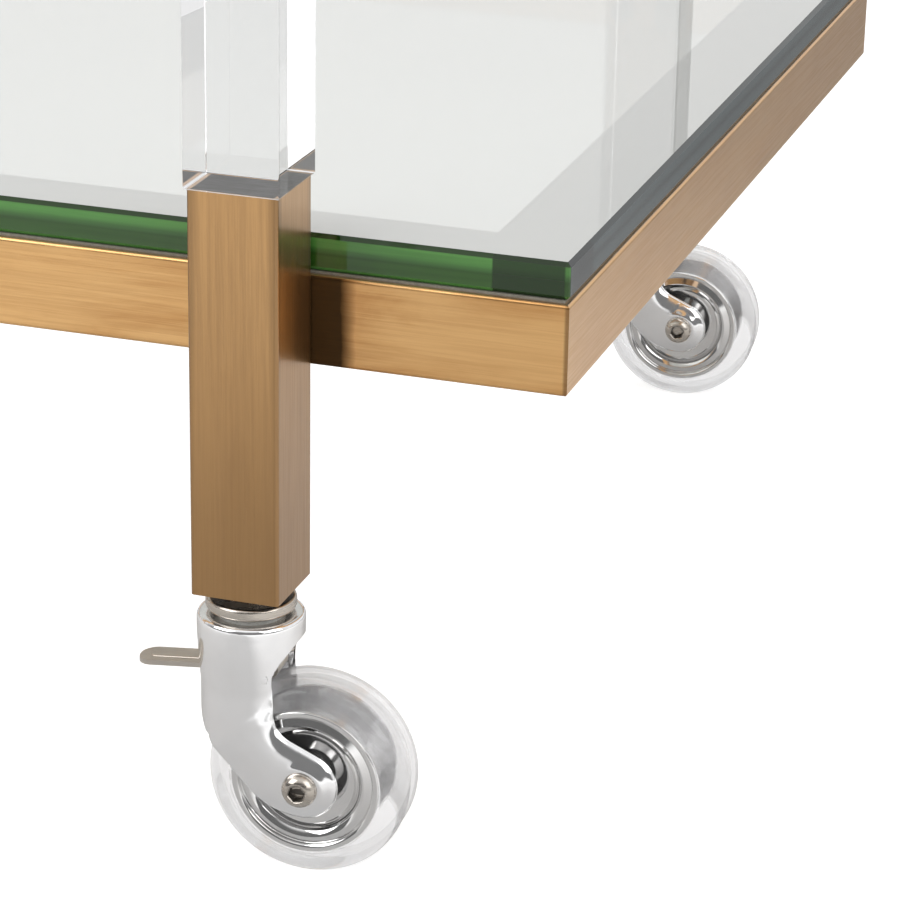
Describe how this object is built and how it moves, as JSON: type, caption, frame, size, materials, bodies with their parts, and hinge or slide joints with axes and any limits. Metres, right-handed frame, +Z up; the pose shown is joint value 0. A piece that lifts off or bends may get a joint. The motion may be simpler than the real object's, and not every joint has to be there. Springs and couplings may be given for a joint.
{
  "type": "dessert trolley",
  "caption": "Tiered dessert trolley with thick glass shelves on square brass tube frames, clear acrylic posts, chrome swivel casters with clear tyres, and a push handle at one end.",
  "frame": {"origin": "centre of the whole trolley in plan, push handle included, at the level of the floor under the wheels", "axes": "+X along the trolley away from the push handle, +Y across it from the front side to the back side, +Z up"},
  "size_m": [1.169, 0.6236, 0.8],
  "materials": {
    "rail_brass": "brushed along the tube, lacquered, with a light cloudy patina",
    "sleeve_brass": "brushed along the tube, a little darker than the rails",
    "shelf_glass": "clear float glass with ground arrises and a green edge",
    "clear_acrylic": "clear, polished",
    "clear_strip": "milky clear, soft",
    "seat_steel": "brushed",
    "dark_steel": "oiled",
    "fork_chrome": "bright chrome over a smooth casting",
    "hub_chrome": "bright chrome with turned rings",
    "plated_steel": "nickel plated, satin",
    "clear_tyre": "clear polyurethane, smooth",
    "dark_rubber": "matte",
    "white_nylon": "matte"
  },
  "bodies": {
    "trolley": {"lower_rail_front": "rail_brass", "lower_rail_back": "rail_brass", "lower_rail_right": "rail_brass", "lower_rail_left": "rail_brass", "lower_glass": "shelf_glass", "lower_rail_screws": "dark_steel", "lower_sleeve_front_right": "sleeve_brass", "lower_sleeve_front_left": "sleeve_brass", "lower_sleeve_back_right": "sleeve_brass", "lower_sleeve_back_left": "sleeve_brass", "upper_rail_front": "rail_brass", "upper_rail_back": "rail_brass", "upper_rail_right": "rail_brass", "upper_rail_left": "rail_brass", "upper_glass": "shelf_glass", "upper_rail_screws": "dark_steel", "upper_sleeve_front_right": "sleeve_brass", "upper_sleeve_front_left": "sleeve_brass", "upper_sleeve_back_right": "sleeve_brass", "upper_sleeve_back_left": "sleeve_brass", "lower_glass_strip": "clear_strip", "upper_glass_strip": "clear_strip", "acrylic_post_front_right": "clear_acrylic", "acrylic_post_front_left": "clear_acrylic", "acrylic_post_back_right": "clear_acrylic", "acrylic_post_back_left": "clear_acrylic", "post_seats": "seat_steel", "rail_blocks": "dark_steel", "top_caps": "sleeve_brass", "stem_sockets": "dark_steel", "handle_bar": "clear_acrylic", "handle_brackets": "sleeve_brass", "handle_screws": "dark_steel", "caster_stems": "plated_steel", "lock_nuts": "plated_steel", "seat_discs": "plated_steel", "swivel_washers": "white_nylon"},
    "swivel_front_right": {"fork_front_right": "fork_chrome", "axle_front_right": "plated_steel", "lever_pin_front_right": "plated_steel"},
    "wheel_front_right": {"hub_front_right": "hub_chrome", "tyre_front_right": "clear_tyre"},
    "lever_front_right": {"brake_lever_front_right": "plated_steel", "brake_shoe_front_right": "dark_rubber"},
    "swivel_front_left": {"fork_front_left": "fork_chrome", "axle_front_left": "plated_steel"},
    "wheel_front_left": {"hub_front_left": "hub_chrome", "tyre_front_left": "clear_tyre"},
    "swivel_back_right": {"fork_back_right": "fork_chrome", "axle_back_right": "plated_steel"},
    "wheel_back_right": {"hub_back_right": "hub_chrome", "tyre_back_right": "clear_tyre"},
    "swivel_back_left": {"fork_back_left": "fork_chrome", "axle_back_left": "plated_steel", "lever_pin_back_left": "plated_steel"},
    "wheel_back_left": {"hub_back_left": "hub_chrome", "tyre_back_left": "clear_tyre"},
    "lever_back_left": {"brake_lever_back_left": "plated_steel", "brake_shoe_back_left": "dark_rubber"}
  },
  "joints": [
    {"name": "front_right_swivel", "type": "hinge", "parent": "trolley", "child": "swivel_front_right", "pos_m": [0.46675, -0.28525, 0.115], "axis": [0, 0, 1], "continuous": true},
    {"name": "front_right_roll", "type": "hinge", "parent": "swivel_front_right", "child": "wheel_front_right", "pos_m": [0.492, -0.2837, 0.04], "axis": [-0.061, 0.9981, 0], "continuous": true},
    {"name": "front_right_brake", "type": "hinge", "parent": "swivel_front_right", "child": "lever_front_right", "pos_m": [0.47573, -0.2847, 0.083], "axis": [-0.061, 0.9981, 0], "range_deg": [0, 10]},
    {"name": "front_left_swivel", "type": "hinge", "parent": "trolley", "child": "swivel_front_left", "pos_m": [-0.39775, -0.28525, 0.115], "axis": [0, 0, 1], "continuous": true},
    {"name": "front_left_roll", "type": "hinge", "parent": "swivel_front_left", "child": "wheel_front_left", "pos_m": [-0.37257, -0.28768, 0.04], "axis": [0.0958, 0.9954, 0], "continuous": true},
    {"name": "back_right_swivel", "type": "hinge", "parent": "trolley", "child": "swivel_back_right", "pos_m": [0.46675, 0.28525, 0.115], "axis": [0, 0, 1], "continuous": true},
    {"name": "back_right_roll", "type": "hinge", "parent": "swivel_back_right", "child": "wheel_back_right", "pos_m": [0.49193, 0.28768, 0.04], "axis": [-0.0958, 0.9954, 0], "continuous": true},
    {"name": "back_left_swivel", "type": "hinge", "parent": "trolley", "child": "swivel_back_left", "pos_m": [-0.39775, 0.28525, 0.115], "axis": [0, 0, 1], "continuous": true},
    {"name": "back_left_roll", "type": "hinge", "parent": "swivel_back_left", "child": "wheel_back_left", "pos_m": [-0.37247, 0.28635, 0.04], "axis": [-0.0436, 0.999, 0], "continuous": true},
    {"name": "back_left_brake", "type": "hinge", "parent": "swivel_back_left", "child": "lever_back_left", "pos_m": [-0.38876, 0.28564, 0.083], "axis": [-0.0436, 0.999, 0], "range_deg": [0, 10]}
  ]
}
